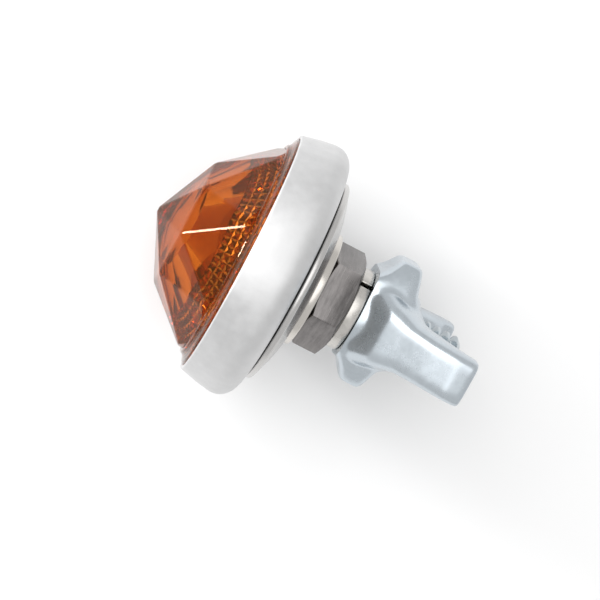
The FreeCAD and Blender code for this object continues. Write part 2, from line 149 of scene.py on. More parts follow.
class ShaderBench:
    """One material being wired up around a Principled shader."""

    def __init__(self, name: str) -> None:
        """Starts an empty material.

        Args:
            name: the material's name.
        """
        self.material = bpy.data.materials.new(name)
        self.material.use_nodes = True
        self.tree = self.material.node_tree
        self.tree.nodes.clear()
        self.shader = self.node("ShaderNodeBsdfPrincipled", {}, {})
        self.output = self.node("ShaderNodeOutputMaterial", {}, {})
        self.tree.links.new(self.shader.outputs["BSDF"], self.output.inputs["Surface"])

    def node(self, kind: str, settings: Dict[str, object],
             inputs: Dict[Union[str, int], object]) -> bpy.types.Node:
        """Adds one node.

        Args:
            kind: the node's type.
            settings: properties set before anything is linked; "stops" sets a colour ramp.
            inputs: a value, a colour or a Wire for each named or numbered socket.

        Returns:
            The new node.
        """
        made = self.tree.nodes.new(kind)
        for key, setting in settings.items():
            if key == "stops":
                self._set_stops(made.color_ramp, setting)
            else:
                setattr(made, key, setting)
        for key, term in inputs.items():
            if isinstance(term, Wire):
                self.tree.links.new(term.socket, made.inputs[key])
            else:
                made.inputs[key].default_value = term
        return made

    @staticmethod
    def _set_stops(ramp: bpy.types.ColorRamp, stops: Sequence[Tuple[float, Colour]]) -> None:
        """Gives a colour ramp its stops.

        Args:
            ramp: the ramp, with the two stops that it starts with.
            stops: each stop's position and colour, lowest first.
        """
        while len(ramp.elements) < len(stops):
            ramp.elements.new(0.5)
        for element, (position, colour) in zip(ramp.elements, stops):
            element.position = position
            element.color = (*colour, 1.0)

    def set(self, socket: str, term: object) -> None:
        """Sets or links one socket of the Principled shader.

        Args:
            socket: the socket's name.
            term: a constant, or a Wire to link.
        """
        if isinstance(term, Wire):
            self.tree.links.new(term.socket, self.shader.inputs[socket])
        else:
            self.shader.inputs[socket].default_value = term

    def absorb(self, colour: Colour, density: float) -> None:
        """Makes the body of the piece take colour out of the light, per metre of path."""
        body = self.node("ShaderNodeVolumeAbsorption", {}, {"Color": (*colour, 1.0), "Density": density})
        self.tree.links.new(body.outputs["Volume"], self.output.inputs["Volume"])

    def place(self) -> Wire:
        """The piece's own coordinates, in metres."""
        return Wire(self, self.node("ShaderNodeTexCoord", {}, {}).outputs["Object"])

    def stretched(self, scale: Tuple[float, float, float]) -> Wire:
        """The piece's coordinates, scaled along each axis."""
        mapping = self.node("ShaderNodeMapping", {"vector_type": "POINT"}, {
            "Vector": self.place(), "Scale": scale,
        })
        return Wire(self, mapping.outputs[0])

    def around(self, scale: Tuple[float, float, float]) -> Wire:
        """Coordinates that run round the lamp's axis.

        Args:
            scale: scale across the radius, along the axis and round the axis.

        Returns:
            A vector of scaled radius, station and angle.
        """
        parts = self.node("ShaderNodeSeparateXYZ", {}, {0: self.place()})
        across, along, up = (Wire(self, socket) for socket in parts.outputs)
        radius = (across * across + up * up) ** 0.5
        angle = across.angle(up)
        rings, length, turns = scale
        joined = self.node("ShaderNodeCombineXYZ", {}, {
            0: radius * rings, 1: along * length, 2: angle * turns,
        })
        return Wire(self, joined.outputs[0])

    def noise(self, vector: Wire, scale: float, detail: float = 3.0, roughness: float = 0.5) -> Wire:
        """Soft noise.

        Args:
            vector: where the noise is read.
            scale: how many waves to a unit.
            detail: how many finer layers it has.
            roughness: how strong the finer layers are.

        Returns:
            The noise, 0 to 1.
        """
        made = self.node("ShaderNodeTexNoise", {"noise_dimensions": "3D"}, {
            "Vector": vector, "Scale": scale, "Detail": detail, "Roughness": roughness,
        })
        return Wire(self, made.outputs[0])

    def ramp(self, factor: Wire, stops: Sequence[Tuple[float, Colour]]) -> Wire:
        """A colour that follows a value."""
        return Wire(self, self.node("ShaderNodeValToRGB", {"stops": stops}, {0: factor}).outputs[0])

    def bump(self, height: Wire, strength: float, distance: float) -> None:
        """Feeds a height to the shader's normal.

        Args:
            height: the surface's height, 0 to 1.
            strength: how much of the bump shows.
            distance: the height that 1 stands for, in metres.
        """
        made = self.node("ShaderNodeBump", {}, {
            "Height": height, "Strength": strength, "Distance": distance,
        })
        self.set("Normal", Wire(self, made.outputs[0]))


# --- Finishes ---------------------------------------------------------------------------------------------

EVEN = (1.0, 1.0, 1.0)
METAL_STOPS = (0.3, 0.7)
CLEAR_STOPS = (0.35, 0.65)


def tones(colour: Colour, shade: float, stops: Spot) -> List[Tuple[float, Colour]]:
    """Two stops, a little darker and a little lighter than a colour.

    Args:
        colour: the colour between the two.
        shade: how far they lie from it, as a share.
        stops: where they lie on the ramp.

    Returns:
        The stops, darker first.
    """
    low = tuple(channel * (1.0 - shade) for channel in colour)
    high = tuple(min(1.0, channel * (1.0 + shade)) for channel in colour)
    return [(stops[0], low), (stops[1], high)]


class Marks(NamedTuple):
    """The noise that a way of working leaves in a surface."""

    round_axis: bool
    stretch: Tuple[float, float, float]
    scale: float
    detail: float
    roughness: float


class Grain(Enum):
    """How a metal surface was last worked."""

    TURNED = Marks(True, (9000.0, 9000.0, 1.2), 1.0, 3.0, 0.6)
    DRAWN = Marks(True, (700.0, 900.0, 14.0), 1.0, 5.0, 0.65)
    SAWN = Marks(False, (420.0, 3000.0, 420.0), 1.0, 4.0, 0.75)
    CAST = Marks(False, EVEN, 1500.0, 4.0, 0.6)


@dataclass(frozen=True)
class MetalFinish:
    """A bare or plated metal surface."""

    name: str
    colour: Colour
    roughness: float
    grain: Grain
    spread: float = 0.08
    shade: float = 0.06
    depth: float = 0.004
    blotch: float = 0.0
    cloud_waves: float = 260.0
    patch_waves: float = 150.0

    def material(self) -> bpy.types.Material:
        """Wires up the finish.

        Returns:
            The material.
        """
        bench = ShaderBench(self.name)
        lines = self._grain(bench)
        cloud = bench.noise(bench.stretched(EVEN), self.cloud_waves, detail=4.0, roughness=0.6)
        stops = tones(self.colour, self.shade, METAL_STOPS)
        bench.set("Base Color", bench.ramp(cloud * 0.5 + lines * 0.5, stops))
        bench.set("Metallic", 1.0)
        patches = bench.noise(bench.stretched(EVEN), self.patch_waves, detail=2.0)
        uneven = (cloud - 0.5) * self.spread + (lines - 0.5) * self.spread + (patches - 0.5) * self.blotch
        bench.set("Roughness", (uneven + self.roughness).clamp())
        bench.bump(lines * 0.7 + cloud * 0.3, strength=0.35, distance=self.depth * MM)
        return bench.material

    def _grain(self, bench: ShaderBench) -> Wire:
        """The fine marks that the last work left.

        Args:
            bench: the material being wired up.

        Returns:
            The marks, 0 to 1.
        """
        marks = self.grain.value
        lay = bench.around if marks.round_axis else bench.stretched
        return bench.noise(lay(marks.stretch), marks.scale, marks.detail, marks.roughness)


@dataclass(frozen=True)
class ClearFinish:
    """A clear or tinted moulding that takes more colour the thicker it is."""

    name: str
    colour: Colour
    depth_colour: Colour
    density: float
    clarity: float
    roughness: float
    ior: float
    gloss: float
    sheen: Colour = EVEN
    haze: float = 0.02
    haze_waves: float = 420.0
    dip: float = 0.12

    def material(self) -> bpy.types.Material:
        """Wires up the finish.

        Returns:
            The material.
        """
        bench = ShaderBench(self.name)
        haze = bench.noise(bench.stretched(EVEN), self.haze_waves)
        deep = tuple(channel * (1.0 - self.dip) for channel in self.colour)
        bench.set("Base Color", bench.ramp(haze, list(zip(CLEAR_STOPS, (deep, self.colour)))))
        bench.set("Roughness", haze * self.haze + self.roughness)
        bench.set("IOR", self.ior)
        bench.set("Specular IOR Level", self.gloss)
        bench.set("Specular Tint", (*self.sheen, 1.0))
        bench.set("Transmission Weight", self.clarity)
        bench.bump(haze, strength=0.1, distance=0.02 * MM)
        bench.absorb(self.depth_colour, self.density)
        return bench.material


@dataclass(frozen=True)
class PlainFinish:
    """Rubber, board, moulded plastic and other surfaces that aren't metal."""

    name: str
    colour: Colour
    roughness: float
    shade: float = 0.15
    waves: float = 900.0
    spread: float = 0.2

    def material(self) -> bpy.types.Material:
        """Wires up the finish.

        Returns:
            The material.
        """
        bench = ShaderBench(self.name)
        speckle = bench.noise(bench.stretched(EVEN), self.waves, detail=5.0, roughness=0.6)
        bench.set("Base Color", bench.ramp(speckle, tones(self.colour, self.shade, CLEAR_STOPS)))
        bench.set("Roughness", ((speckle - 0.5) * self.spread + self.roughness).clamp())
        bench.bump(speckle, strength=0.3, distance=0.01 * MM)
        return bench.material


Finish = Union[MetalFinish, ClearFinish, PlainFinish]

AMBER = ClearFinish("amber_moulding", (0.60, 0.22, 0.03), (0.92, 0.54, 0.09), 225.0, 0.95, 0.02, 1.42, 0.04,
                    (0.65, 0.4, 0.25))
CLEAR = ClearFinish("clear_silicone", (1.0, 0.95, 0.8), (1.0, 0.9, 0.6), 20.0, 1.0, 0.05, 1.41, 0.5)
SATIN = MetalFinish("satin_aluminium", (0.66, 0.66, 0.662), 0.56, Grain.DRAWN, 0.2, 0.09, 0.012, 0.5)
PLATE = MetalFinish("polished_plate", (0.55, 0.54, 0.53), 0.26, Grain.TURNED, 0.06, 0.08)
WASHER = MetalFinish("bright_washer", (0.62, 0.59, 0.55), 0.24, Grain.TURNED, 0.08, 0.08)
NUT = MetalFinish("brushed_stainless", (0.185, 0.175, 0.172), 0.27, Grain.SAWN, 0.34, 0.5, 0.03, 0.3)
SPRING = MetalFinish("spring_steel", (0.58, 0.56, 0.53), 0.30, Grain.CAST, 0.3, 0.22, 0.03, 0.3)
ZINC = MetalFinish("plated_casting", (0.53, 0.58, 0.62), 0.27, Grain.CAST, 0.1, 0.07, 0.012, 0.16)
THREAD = MetalFinish("plated_thread", (0.50, 0.55, 0.58), 0.20, Grain.TURNED, 0.06, 0.06)
MIRROR = MetalFinish("bright_reflector", (0.95, 0.72, 0.35), 0.12, Grain.TURNED, 0.04, 0.06)
SOLDER = MetalFinish("solder", (0.72, 0.72, 0.73), 0.35, Grain.CAST)
RUBBER = PlainFinish("black_rubber", (0.02, 0.02, 0.02), 0.75)
# Board colour: partly a dark lacquer and partly painted shade. It is kept darker than the lacquer alone so
# that the dim inside of the lamp, seen through the lens's middle, reads dark.
BOARD_LACQUER_AND_SHADE = PlainFinish("board_lacquer_and_painted_shade", (0.20, 0.19, 0.165), 0.35, 0.08)
PACKAGE = PlainFinish("source_package", (0.75, 0.62, 0.40), 0.4)
CHIP = PlainFinish("chip_body", (0.03, 0.03, 0.03), 0.5)
FIBRE = PlainFinish("fibre_disc", (0.55, 0.48, 0.36), 0.7)


# --- Modelling with operators -----------------------------------------------------------------------------

def rest_tools() -> None:
    """Leaves edit mode and deselects everything."""
    if bpy.context.object is not None and bpy.context.object.mode != "OBJECT":
        bpy.ops.object.mode_set(mode="OBJECT")
    bpy.ops.object.select_all(action="DESELECT")


class Workpiece:
    """One mesh on the bench, shaped with edit-mode operators and modifiers."""

    def __init__(self, item: bpy.types.Object, name: str) -> None:
        """Takes over an object that an operator has just added.

        Args:
            item: the object.
            name: its new name.
        """
        self.item = item
        self.item.name = name
        self.item.data.name = name

    @classmethod
    def turned(cls, name: str, outline: Sequence[Spot], segments: int = SEGMENTS) -> Workpiece:
        """Turns an outline about the lamp's axis, ring by ring.

        Args:
            name: the piece's name.
            outline: (radius, station) corners in mm. A first or last radius of 0 closes that end with a pole;
                otherwise the last ring is joined back to the first.
            segments: how many sides each ring has.

        Returns:
            The turned workpiece.
        """
        rest_tools()
        spots = list(outline)
        starts_at_pole = spots[0][0] == 0.0
        ends_at_pole = spots[-1][0] == 0.0
        rings = spots[1:] if starts_at_pole else spots
        rings = rings[:-1] if ends_at_pole else rings
        radius, station = rings[0]
        bpy.ops.mesh.primitive_circle_add(
            vertices=segments, radius=radius * MM, location=(0, station * MM, 0), rotation=FACING_AXIS)
        piece = cls(bpy.context.active_object, name)
        bpy.ops.object.transform_apply(location=True, rotation=True, scale=True)
        bpy.ops.object.mode_set(mode="EDIT")
        bpy.ops.mesh.select_mode(type="VERT")
        bpy.ops.mesh.select_all(action="SELECT")
        if starts_at_pole:
            piece._pole(spots[0][1] - station)
            piece.select_where("VERT", lambda v: abs(math.hypot(v.x, v.z) - radius * MM) < HAIR)
        closed = not (starts_at_pole or ends_at_pole)
        for following in rings[1:] + (rings[:1] if closed else []):
            bpy.ops.mesh.extrude_region_move(
                TRANSFORM_OT_translate={"value": (0, (following[1] - station) * MM, 0)})
            ratio = following[0] / radius
            bpy.ops.transform.resize(value=(ratio, 1, ratio), center_override=ORIGIN)
            radius, station = following
        if ends_at_pole:
            piece._pole(spots[-1][1] - station)
        bpy.ops.mesh.select_all(action="SELECT")
        bpy.ops.mesh.remove_doubles(threshold=HAIR)
        bpy.ops.mesh.normals_make_consistent(inside=False)
        bpy.ops.object.mode_set(mode="OBJECT")
        return piece

    @staticmethod
    def _pole(rise: float) -> None:
        """Closes the selected ring with a cone to the axis, a rise in mm away."""
        bpy.ops.mesh.extrude_region_move(TRANSFORM_OT_translate={"value": (0, rise * MM, 0)})
        bpy.ops.mesh.merge(type="CENTER")

    def edit(self) -> None:
        """Enters edit mode on this piece alone."""
        rest_tools()
        bpy.context.view_layer.objects.active = self.item
        self.item.select_set(True)
        bpy.ops.object.mode_set(mode="EDIT")

    def edit_all(self) -> None:
        """Enters edit mode on this piece with everything selected."""
        self.edit()
        bpy.ops.mesh.select_all(action="SELECT")

    def select_where(self, kind: str, test: Callable[[Vector], bool]) -> None:
        """Selects vertices, edges or faces by place, in edit mode.

        Args:
            kind: VERT, EDGE or FACE.
            test: says of a vertex's place whether it counts. An edge or face counts when all its vertices do.
        """
        bpy.ops.mesh.select_mode(type=kind)
        bpy.ops.mesh.select_all(action="DESELECT")
        mesh = bmesh.from_edit_mesh(self.item.data)
        elements = {"VERT": mesh.verts, "EDGE": mesh.edges, "FACE": mesh.faces}[kind]
        for element in elements:
            corners = [element] if kind == "VERT" else element.verts
            if all(test(corner.co) for corner in corners):
                element.select_set(True)
        mesh.select_flush_mode()
        bmesh.update_edit_mesh(self.item.data)

    def modify(self, kind: str, **settings: object) -> None:
        """Adds one modifier and applies it.

        Args:
            kind: the modifier's type.
            settings: its properties.
        """
        rest_tools()
        bpy.context.view_layer.objects.active = self.item
        self.item.select_set(True)
        modifier = self.item.modifiers.new(kind.lower(), kind)
        for key, setting in settings.items():
            setattr(modifier, key, setting)
        bpy.ops.object.modifier_apply(modifier=modifier.name)

    def combine(self, other: Workpiece, operation: str) -> None:
        """Joins, cuts or intersects with another workpiece, which is used up."""
        self.modify("BOOLEAN", operation=operation, solver="EXACT", object=other.item)
        bpy.data.objects.remove(other.item)

    def spin_about_axis(self, degrees: float) -> None:
        """Turns the mesh about the lamp's axis.

        Args:
            degrees: how far; positive takes +Z towards +X.
        """
        self.edit_all()
        bpy.ops.transform.rotate(value=-math.radians(degrees), orient_axis="Y", center_override=ORIGIN)
        bpy.ops.object.mode_set(mode="OBJECT")

    def smooth(self, degrees: float) -> None:
        """Shades smooth wherever faces meet at less than an angle.

        Args:
            degrees: the angle.
        """
        rest_tools()
        bpy.context.view_layer.objects.active = self.item
        self.item.select_set(True)
        bpy.ops.object.shade_smooth_by_angle(angle=math.radians(degrees))

    def finish(self, finish: Finish, body: str, nodes: Sequence[str], slot: str) -> bpy.types.Object:
        """Gives the piece its finish and its place in the frame.

        Args:
            finish: the finish to wear.
            body: the body that the piece moves with.
            nodes: the CAD nodes that it stands for.
            slot: the record's material slot.

        Returns:
            slot: the record's material slot; not used.
        """
        self.item.data.materials.clear()
        self.item.data.materials.append(finish.material())
        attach(self.item, body)
        if nodes:
            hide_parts(*nodes)
        log.info("%s: %d faces, rides on %s", self.item.name, len(self.item.data.polygons), body)
        return self.item


def arc(centre: Spot, radius: float, start: float, end: float, steps: int) -> List[Spot]:
    """Points along an arc of an outline.

    Args:
        centre: (radius, station) of the arc's centre.
        radius: the arc's own radius.
        start: first angle in degrees; 0 points outwards and 90 to the rear.
        end: last angle.
        steps: how many pieces the arc is divided into.

    Returns:
        The points, both ends included.
    """
    spots = []
    for step in range(steps + 1):
        angle = math.radians(start + (end - start) * step / steps)
        spots.append((centre[0] + radius * math.cos(angle), centre[1] + radius * math.sin(angle)))
    return spots


@dataclass(frozen=True)
class Layer:
    """One layer of the lamp, in mm: where it starts and ends along the axis, and how far out it reaches."""

    front: float
    rear: float
    radius: float

    @classmethod
    def of(cls, node: str) -> Layer:
        """Reads a node's box from the frame."""
        low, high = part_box(node)
        return cls(low[1] / MM, high[1] / MM, high[0] / MM)


class Stations:
    """The layers that the new pieces take their places from."""

    def __init__(self) -> None:
        """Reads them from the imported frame."""
        self.lens = Layer.of("lens")
        self.cup = Layer.of("housing_cup")
        self.reflector = Layer.of("reflector")
        self.plate = Layer.of("back_plate")
        self.washer = Layer.of("flat_washer")
        self.nut = Layer.of("hex_nut")
        self.lock = Layer.of("lock_washer")
        self.wing = Layer.of("wing_nut")


# --- The lamp ---------------------------------------------------------------------------------------------

@dataclass
class Jewel:
    """The faceted lens: crown, steep facets, girdle and the flange under the lip."""

    stations: Stations
    sides: int = 8
    turn: float = -9.5
    crown_radius: float = 6.5
    crown_station: float = -6.03
    foot_radius: float = 11.6
    foot_station: float = -0.55
    girdle_radius: float = 10.8
    land_station: float = -0.4
    flange_station: float = -0.2
    edge_round: float = 0.11
    sharpest_flat: float = 12.0
    shading: float = 5.8
    bead_radius: float = 0.3
    hollow_mouth: float = 9.6
    hollow_ring: Spot = (7.0, -1.9)
    hollow_shoulder: Spot = (3.6, -4.3)
    hollow_top: float = -5.3
    prism_rows: int = 5
    prism_columns: int = 64
    prism_depth: float = 0.3
    plain_mouth: float = 0.7

    def build(self) -> bpy.types.Object:
        """Models the lens in one closed mesh.

        Returns:
            The lens.
        """
        origin = self.stations.cup.front
        jewel = self._facets(origin)
        jewel.modify("BEVEL", width=self.edge_round * MM, segments=1, limit_method="ANGLE",
                     angle_limit=math.radians(self.sharpest_flat))
        barrel = Workpiece.turned("barrel", [
            (0.0, self.stations.lens.front - 1.0),
            (self.girdle_radius, self.stations.lens.front - 1.0),
            (self.girdle_radius, origin + 0.2),
            (0.0, origin + 0.2),
        ])
        jewel.combine(barrel, "INTERSECT")
        jewel.combine(self._flange(origin), "UNION")
        jewel.combine(self._hollow(origin), "DIFFERENCE")
        jewel.smooth(self.shading)
        return jewel.finish(AMBER, "lamp", ["lens"], "amber_lens")

    def _facets(self, origin: float) -> Workpiece:
        """The crown and the two rows of steep facets, as the hull of their corners.

        Args:
            origin: the station of the cup's front.

        Returns:
            The faceted body, not yet cut to the barrel.
        """
        rest_tools()
        apex = self.stations.lens.front
        crown = origin + self.crown_station
        bpy.ops.mesh.primitive_cone_add(
            vertices=self.sides, radius1=self.crown_radius * MM, radius2=0.0, depth=(crown - apex) * MM,
            location=(0, (crown + apex) / 2 * MM, 0), rotation=FACING_AXIS)
        jewel = Workpiece(bpy.context.active_object, "jewel_lens")
        bpy.ops.object.transform_apply(location=True, rotation=True, scale=True)
        jewel.edit()
        bpy.ops.mesh.primitive_circle_add(
            vertices=self.sides, radius=self.foot_radius * MM,
            location=(0, (origin + self.foot_station) * MM, 0), rotation=FACING_AXIS)
        bpy.ops.transform.rotate(value=math.pi / self.sides, orient_axis="Y", center_override=ORIGIN)
        bpy.ops.mesh.select_all(action="SELECT")
        bpy.ops.mesh.convex_hull()
        bpy.ops.object.mode_set(mode="OBJECT")
        jewel.spin_about_axis(-self.turn)
        return jewel

    def _flange(self, origin: float) -> Workpiece:
        """The land and bead around the jewel, and the shoulder inside the lip.

        Args:
            origin: the station of the cup's front.

        Returns:
            The flange.
        """
        rear = self.stations.lens.rear
        edge = self.stations.lens.radius
        mouth = edge - 0.3
        foot = self.girdle_radius
        bead = self.bead_radius
        return Workpiece.turned("flange", [
            (0.0, origin + self.land_station - 0.5),
            (foot - 0.8, origin + self.land_station - 0.5),
            (foot - 0.3, origin + self.land_station - 0.15),
            *arc((foot + bead - 0.1, origin + self.land_station - 0.05), bead, -150, -10, 6),
            (foot + bead + 0.4, origin + self.land_station + 0.05),
            *arc((mouth - 0.25, origin + self.flange_station + 0.25), 0.25, -90, 0, 4),
            (mouth, origin + 1.2),
            (edge, origin + 1.25),
            (edge, rear),
            (0.0, rear),
        ])

    def _hollow(self, origin: float) -> Workpiece:
        """The space behind the jewel: a cone above a ring of small prisms.

        Args:
            origin: the station of the cup's front.

        Returns:
            The space, as a body to cut away.
        """
        ring, station = self.hollow_ring
        mouth = self.hollow_mouth
        rear = self.stations.lens.rear - origin
        reach = rear - self.plain_mouth - station
        rows = [
            (ring + (mouth - ring) * row / self.prism_rows, origin + station + reach * row / self.prism_rows)
            for row in range(self.prism_rows + 1)
        ]
        hollow = Workpiece.turned("hollow", [
            (0.0, origin + self.hollow_top),
            (self.hollow_shoulder[0], origin + self.hollow_shoulder[1]),
            *rows,
            (mouth + 0.1, origin + rear + 0.5),
            (0.0, origin + rear + 0.5),
        ], self.prism_columns)
        hollow.edit()
        low, high = rows[0][1] - NEAR, rows[-1][1] + NEAR
        hollow.select_where("FACE", lambda v: low < v.y / MM < high)
        bpy.ops.mesh.poke(offset=self.prism_depth * MM)
        bpy.ops.object.mode_set(mode="OBJECT")
        return hollow


@dataclass
class Cup:
    """The drawn cup: rolled lip, flared wall and a rounded rear corner."""

    stations: Stations
    flare: float = 0.65
    flare_length: float = 3.4
    bow: float = 0.06
    lip: float = 0.5
    roll: float = 1.2
    wall: float = 0.42
    floor: float = 0.5
    corner: float = 1.75
    hole: float = 3.2
    shading: float = 35.0

    def build(self) -> bpy.types.Object:
        """Turns the cup.

        Returns:
            The cup.
        """
        front = self.stations.cup.front
        rear = self.stations.cup.rear
        outer = self.stations.cup.radius
        rim = outer - self.flare
        edge = self.lip / 2
        inner = outer - self.wall
        cup = Workpiece.turned("drawn_cup", [
            *arc((rim - edge, front + edge), edge, -180, 0, 8),
            *self._wall(front, rim, outer),
            *arc((outer - self.corner, rear - self.corner), self.corner, 0, 90, 12),
            (self.hole, rear),
            (self.hole, rear - self.floor),
            (inner - 1.0, rear - self.floor),
            (inner, rear - self.floor - 1.0),
            (inner, front + self.flare_length),
            (rim - self.wall + 0.1, front + self.roll),
            (rim - self.lip, front + self.roll),
        ])
        cup.smooth(self.shading)
        return cup.finish(SATIN, "lamp", ["housing_cup"], "satin_cup")

    def _wall(self, front: float, rim: float, outer: float) -> List[Spot]:
        """The flared wall: nearly straight from the lip, bowing out a little before its widest ring.

        Args:
            front: the station of the cup's front.
            rim: the radius at the lip.
            outer: the widest radius.

        Returns:
            The wall's outline.
        """
        steps = 6
        spots = []
        for step in range(1, steps + 1):
            share = step / steps
            bow = self.bow * math.sin(share * math.pi)
            spots.append((rim + (outer - rim) * share + bow, front + 0.3 + (self.flare_length - 0.3) * share))
        return spots


@dataclass
class Reflector:
    """Bright pan with rows of small pyramids that sparkle through the lens."""

    stations: Stations
    inner: float = 7.9
    outer: float = 10.9
    rows: int = 4
    columns: int = 72
    sheet: float = 0.3
    pyramid: float = 0.22

    def build(self) -> bpy.types.Object:
        """Turns the pan and raises a pyramid on each of its cells.

        Returns:
            The pan.
        """
        layer = self.stations.reflector
        front, rear, edge = layer.front, layer.rear, layer.radius
        slope = [
            (self.outer + (self.inner - self.outer) * row / self.rows,
             front + 0.15 + (rear - front - 0.35) * row / self.rows)
            for row in range(self.rows + 1)
        ]
        pan = Workpiece.turned("stippled_reflector", [
            (edge, front), *slope, (self.inner, rear), (self.inner + 0.6, rear),
            (self.outer, front + self.sheet), (edge, front + self.sheet),
        ], self.columns)
        pan.edit()
        pan.select_where("FACE", lambda v: self._on_slope(v, slope))
        bpy.ops.mesh.poke(offset=self.pyramid * MM)
        bpy.ops.object.mode_set(mode="OBJECT")
        return pan.finish(MIRROR, "lamp", ["reflector"], "bright_reflector")

    @staticmethod
    def _on_slope(spot: Vector, slope: Sequence[Spot]) -> bool:
        """Whether a vertex lies on one of the slope's rings.

        Args:
            spot: the vertex's place.
            slope: (radius, station) of each ring.

        Returns:
            True on a ring.
        """
        radius = math.hypot(spot.x, spot.z) / MM
        station = spot.y / MM
        return any(abs(radius - ring[0]) < NEAR and abs(station - ring[1]) < NEAR for ring in slope)


# --- Behind the lamp --------------------------------------------------------------------------------------

@dataclass
class BackPlate:
    """The slightly domed plate with its short rim."""

    stations: Stations
    rim: float = 0.45
    land: float = 6.1
    sheet: float = 0.5
    hole: float = 3.2
    edge: float = 0.12
    shading: float = 30.0

    def build(self) -> bpy.types.Object:
        """Turns the plate.

        Returns:
            The plate.
        """
        front = self.stations.plate.front
        rear = self.stations.plate.rear
        outer = self.stations.plate.radius
        plate = Workpiece.turned("domed_plate", [
            *arc((outer - self.edge, front + self.edge), self.edge, -90, 0, 3),
            *arc((outer - 0.3, front + self.rim - 0.1), 0.3, 0, 75, 5),
            *self._dome(outer - 0.3, front + self.rim + 0.19, rear),
            (self.hole, rear),
            (self.hole, rear - self.sheet),
            (self.land - self.sheet / 2, rear - self.sheet),
            (outer - self.sheet, front),
        ])
        plate.smooth(self.shading)
        return plate.finish(PLATE, "lamp", ["back_plate"], "plate_metal")

    def _dome(self, reach: float, start: float, end: float) -> List[Spot]:
        """The bowed face between the rim and the land under the washer.

        Args:
            reach: the radius at the rim.
            start: the station at the rim.
            end: the station of the land.

        Returns:
            The face's outline.
        """
        steps = 6
        spots = []
        for step in range(1, steps + 1):
            share = step / steps
            rise = math.sin(share * QUARTER)
            spots.append((reach + (self.land - reach) * share, start + (end - start) * rise))
        return spots


@dataclass
class Hardware:
    """Flat washer, hexagon nut and split lock washer."""

    stations: Stations
    flats: float = 9.525
    nut_turn: float = 24.0
    nut_bore: float = 2.45
    nut_chamfer: float = 0.42
    nut_edge: float = 0.07
    nut_shading: float = 25.0
    washer_bore: float = 2.5
    washer_edge: float = 0.16
    washer_shading: float = 30.0
    lock_bore: float = 2.6
    lock_gap: float = 0.42
    lock_turn: float = -42.0
    lock_edge: float = 0.14
    lock_steps: int = 120
    lock_corner: float = 40.0

    def build(self) -> List[bpy.types.Object]:
        """Models the three pieces.

        Returns:
            The pieces, front to rear.
        """
        return [self._flat_washer(), self._nut(), self._lock_washer()]

    def _flat_washer(self) -> bpy.types.Object:
        """A stamped washer: rounded edge on one face, sharper on the other.

        Returns:
            The washer.
        """
        front = self.stations.washer.front
        rear = self.stations.washer.rear
        outer = self.stations.washer.radius
        edge = self.washer_edge
        washer = Workpiece.turned("round_washer", [
            (self.washer_bore, front),
            *arc((outer - edge / 2, front + edge / 2), edge / 2, -90, 0, 3),
            *arc((outer - edge, rear - edge), edge, 0, 90, 5),
            (self.washer_bore, rear),
        ])
        washer.smooth(self.washer_shading)
        return washer.finish(WASHER, "lamp", ["flat_washer"], "washer_metal")

    def _nut(self) -> bpy.types.Object:
        """A hexagonal bar cut by a chamfered blank and bored.

        Returns:
            The nut.
        """
        rest_tools()
        front = self.stations.nut.front
        rear = self.stations.nut.rear
        corner = self.flats / math.sqrt(3.0)
        bpy.ops.mesh.primitive_cylinder_add(
            vertices=6, radius=corner * MM, depth=(rear - front + 2.0) * MM,
            location=(0, (front + rear) / 2 * MM, 0), rotation=FACING_AXIS)
        nut = Workpiece(bpy.context.active_object, "hexagon_nut")
        bpy.ops.object.transform_apply(location=True, rotation=True, scale=True)
        blank = Workpiece.turned("blank", [
            (self.nut_bore, front + self.nut_chamfer),
            (self.nut_bore + self.nut_chamfer, front),
            (self.flats / 2 - 0.1, front),
            (corner + 0.15, front + self.nut_chamfer),
            (corner + 0.15, rear - self.nut_chamfer),
            (self.flats / 2 - 0.1, rear),
            (self.nut_bore + self.nut_chamfer, rear),
            (self.nut_bore, rear - self.nut_chamfer),
        ])
        nut.combine(blank, "INTERSECT")
        nut.spin_about_axis(self.nut_turn)
        nut.modify("BEVEL", width=self.nut_edge * MM, segments=2, limit_method="ANGLE",
                   angle_limit=math.radians(self.nut_shading))
        nut.smooth(self.nut_shading)
        return nut.finish(NUT, "lamp", ["hex_nut"], "nut_steel")

    def _lock_washer(self) -> bpy.types.Object:
        """A square-section ring spun almost full circle, with a gap between its cut ends.

        Returns:
            The washer.
        """
        rest_tools()
        front = self.stations.lock.front
        rear = self.stations.lock.rear
        outer = self.stations.lock.radius
        middle = (outer + self.lock_bore) / 2
        gap = math.degrees(self.lock_gap / middle)
        bpy.ops.mesh.primitive_plane_add(size=1.0, location=(0, (front + rear) / 2 * MM, middle * MM),
                                         rotation=(0, QUARTER, 0))
        washer = Workpiece(bpy.context.active_object, "spring_washer")
        washer.item.scale = ((outer - self.lock_bore) * MM, (rear - front) * MM, 1.0)
        bpy.ops.object.transform_apply(location=True, rotation=True, scale=True)
        washer.edit()
        bpy.ops.mesh.select_all(action="SELECT")
        sweep = math.radians(360.0 - gap)
        bpy.ops.mesh.spin(steps=self.lock_steps, angle=sweep, center=ORIGIN, axis=(0, 1, 0))
        bpy.ops.mesh.select_all(action="SELECT")
        bpy.ops.mesh.remove_doubles(threshold=HAIR)
        bpy.ops.mesh.normals_make_consistent(inside=False)
        bpy.ops.object.mode_set(mode="OBJECT")
        washer.modify("BEVEL", width=self.lock_edge * MM, segments=3, limit_method="ANGLE",
                      angle_limit=math.radians(self.lock_corner))
        washer.spin_about_axis(self.lock_turn)
        washer.smooth(self.washer_shading)
        return washer.finish(SPRING, "lock_washer", ["lock_washer"], "spring_steel")


class Section(NamedTuple):
    """One section of a limb: its middle, its width in the wings' plane, its thickness and its tilt."""

    station: float
    height: float
    width: float
    thickness: float
    tilt: float = 0.0


